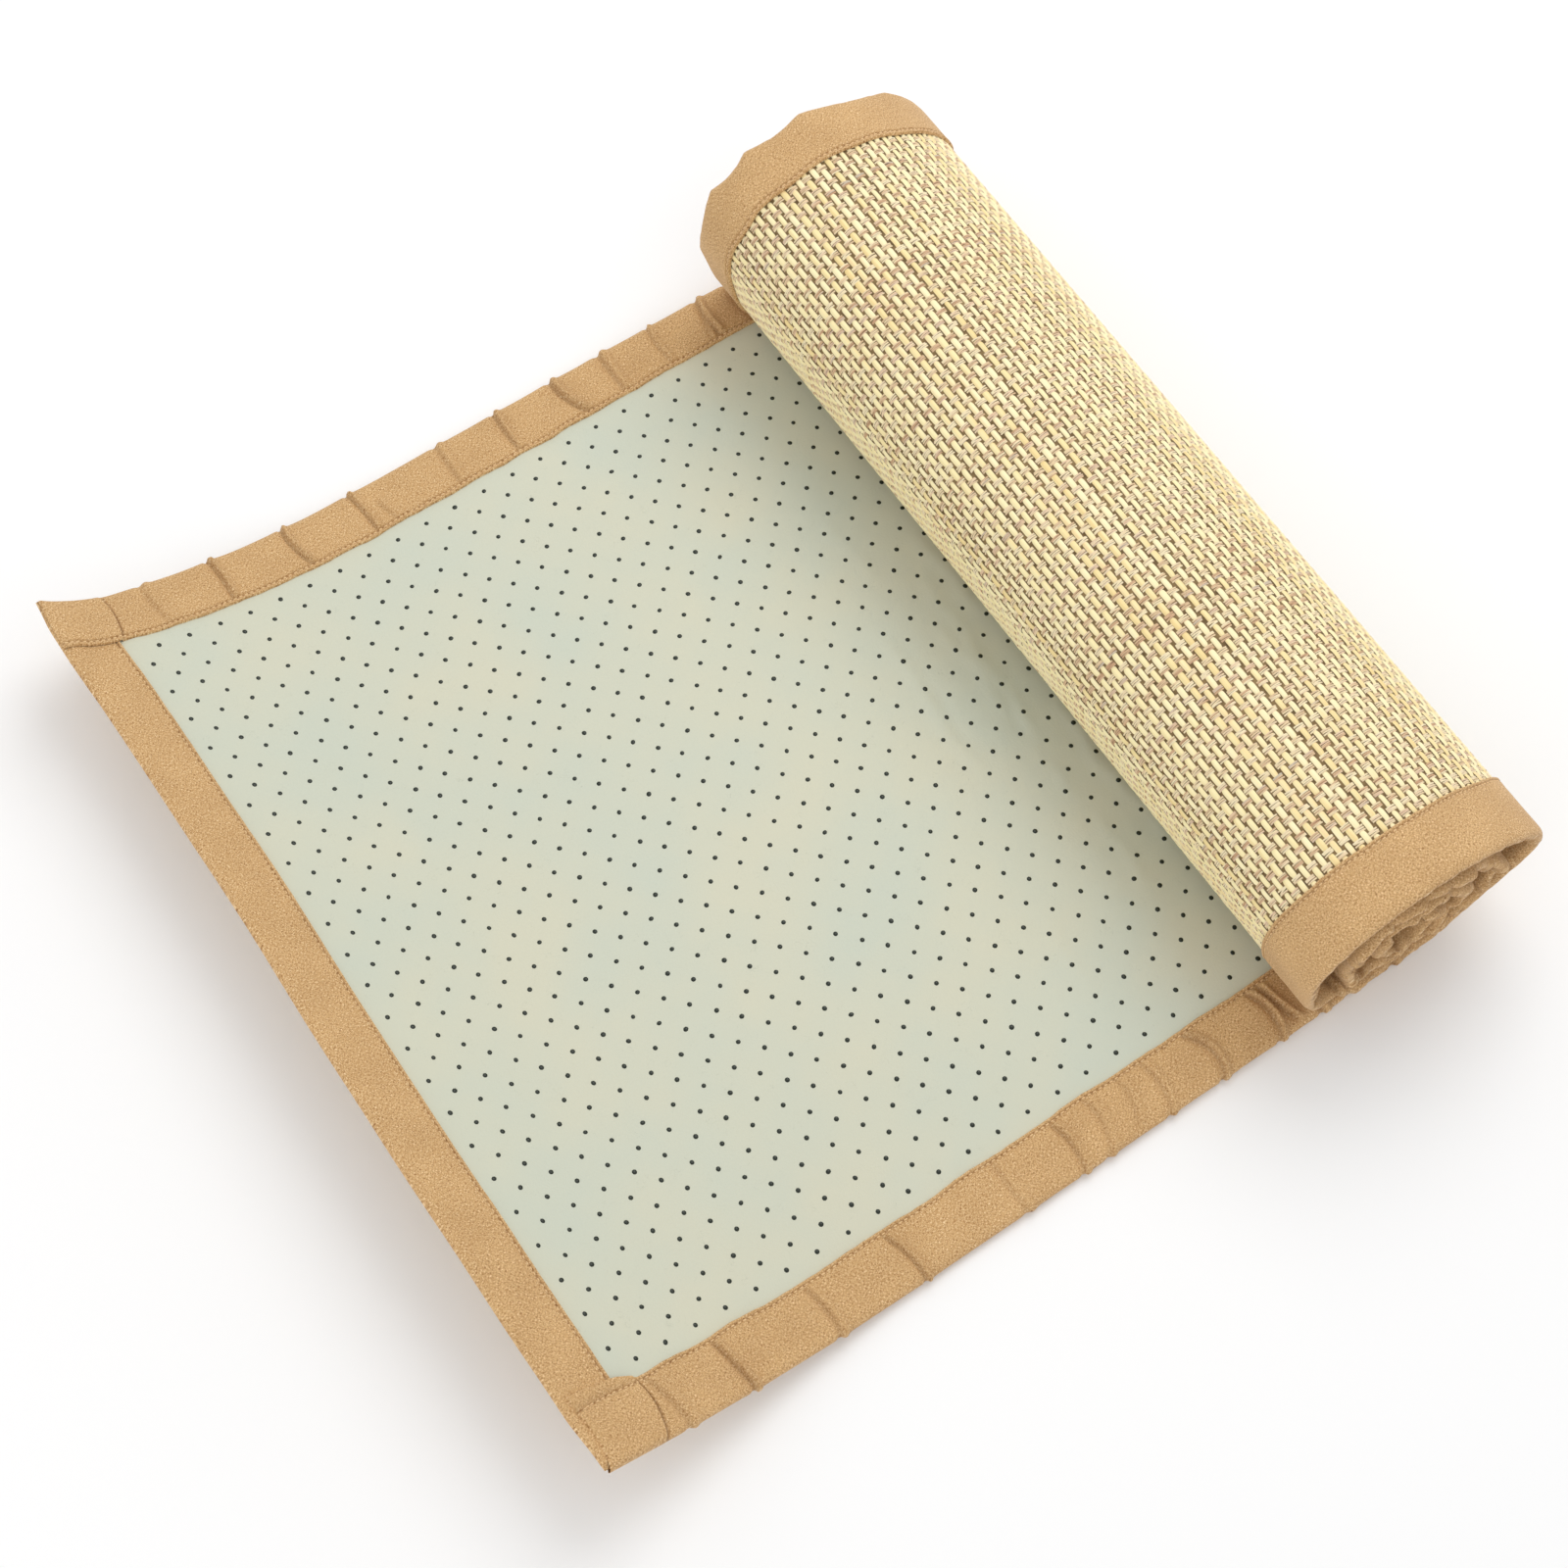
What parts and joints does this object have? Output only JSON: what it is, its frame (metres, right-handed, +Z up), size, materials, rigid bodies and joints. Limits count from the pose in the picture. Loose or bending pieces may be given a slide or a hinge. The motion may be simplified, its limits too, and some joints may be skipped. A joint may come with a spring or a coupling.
{
  "type": "rolled floor mat",
  "caption": "Straw-weave floor mat with a dotted non-slip backing and tan cloth binding, lying backing up with one end loosely rolled and the other curling up.",
  "frame": {"origin": "middle of the part seen from above, on the surface it lies on", "axes": "+X along the mat from its open end to the rolled end, +Y across it towards the far long edge, +Z up"},
  "size_m": [0.4786, 0.449, 0.1092],
  "materials": {
    "straw_weave": "bamboo sticks woven with fine twisted threads, satin",
    "dotted_felt": "matte mottled felt with small dark grip dots",
    "tan_tape": "matte heathered woven tape"
  },
  "bodies": {
    "root": {"woven_face": "straw_weave", "felt_backing": "dotted_felt", "side_binding_near": "tan_tape", "side_binding_far": "tan_tape", "end_binding_open": "tan_tape", "end_binding_core": "tan_tape"}
  },
  "joints": []
}
